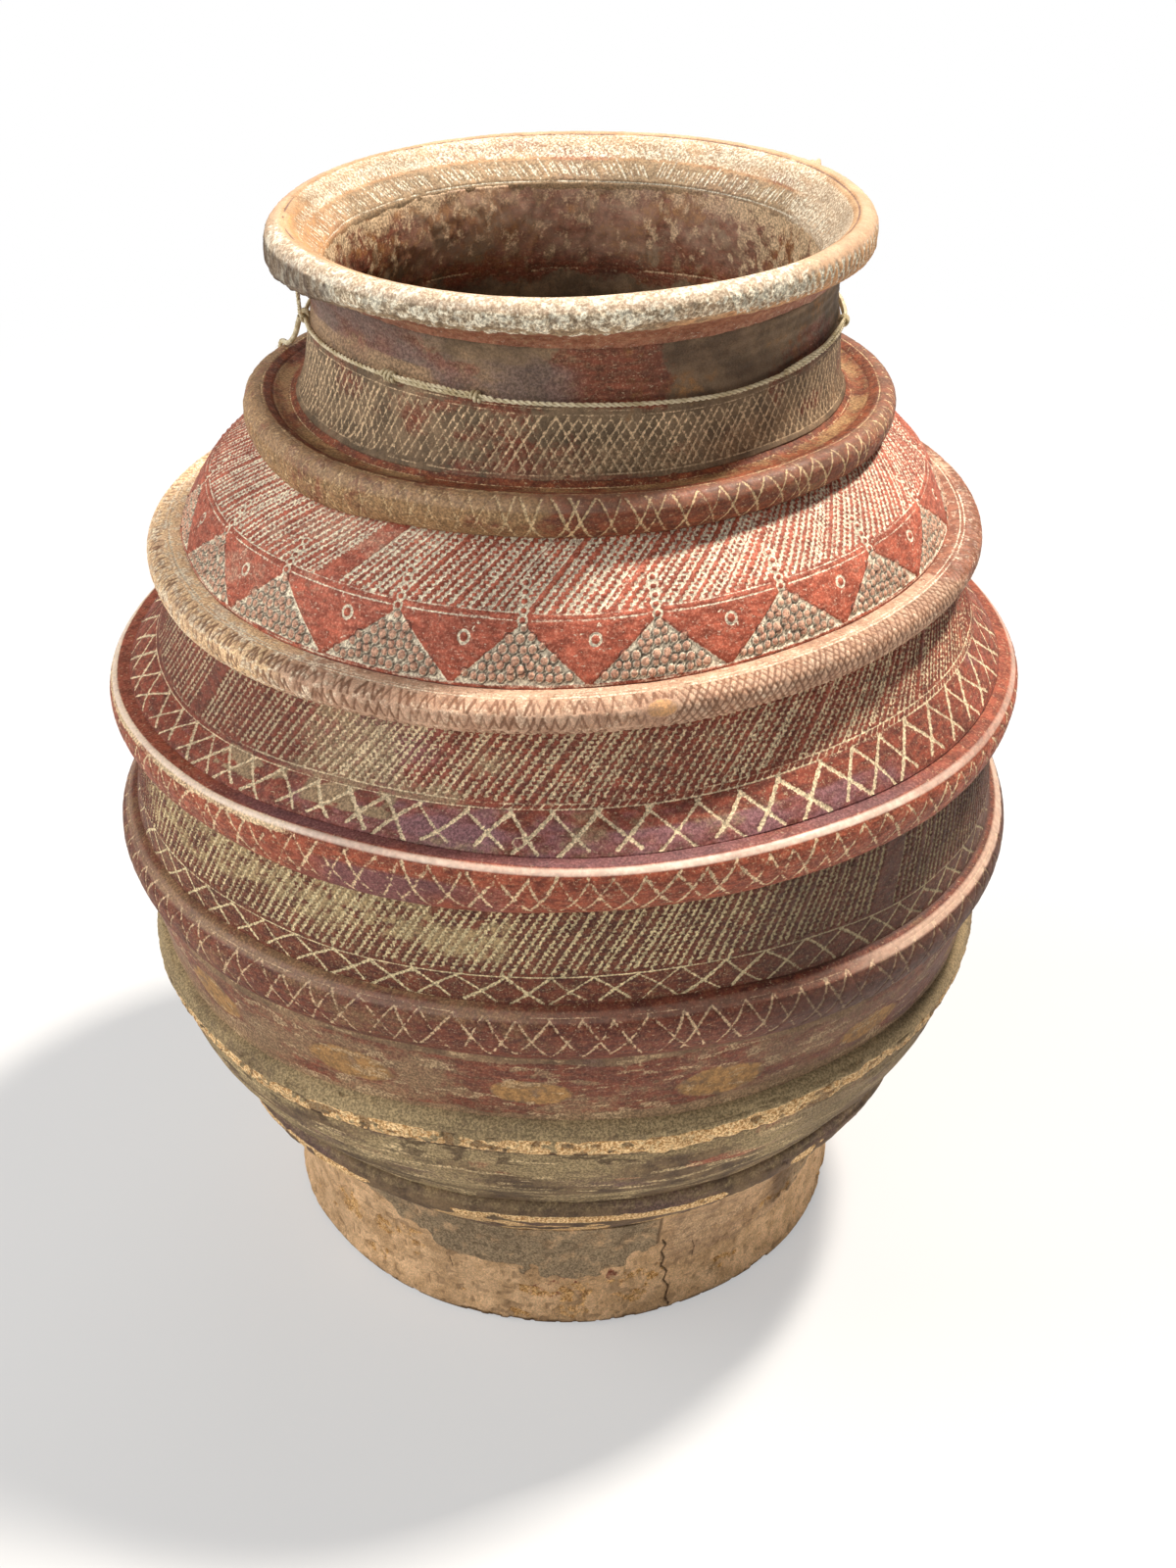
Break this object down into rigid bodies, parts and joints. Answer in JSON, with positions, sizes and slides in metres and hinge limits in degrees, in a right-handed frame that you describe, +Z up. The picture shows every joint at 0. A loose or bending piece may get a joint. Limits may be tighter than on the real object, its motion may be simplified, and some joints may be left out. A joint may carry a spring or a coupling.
{
  "type": "ceramic storage jar",
  "caption": "Tall footed storage jar of hand-built red clay with a short neck, rolled rim, raised ridges and twine tied round the neck.",
  "frame": {"origin": "centre of the foot ring's standing face, on the ground", "axes": "+Z up along the jar's axis, -Y towards the side that the picture shows"},
  "size_m": [0.631, 0.631, 0.7605],
  "materials": {
    "bare_clay": "matt, sandy, flaked",
    "worn_clay": "matt, abraded",
    "red_slip": "burnished, incised, lines filled pale",
    "pale_slip": "satin, finely incised",
    "rim_clay": "matt, gritty crust outside",
    "twine": "two-ply plant fibre"
  },
  "bodies": {
    "root": {"foot_ring": "bare_clay", "bottom": "bare_clay", "foot_ridge": "worn_clay", "lower_wall": "worn_clay", "worn_ridge": "worn_clay", "painted_wall": "red_slip", "low_ridge": "red_slip", "lower_belly_wall": "red_slip", "belly_ridge": "red_slip", "upper_belly_wall": "red_slip", "shoulder_ridge": "pale_slip", "shoulder_wall": "red_slip", "collar_ridge": "red_slip", "neck_wall": "worn_clay", "rim": "rim_clay", "neck_twine": "twine", "twine_tail": "twine"}
  },
  "joints": []
}
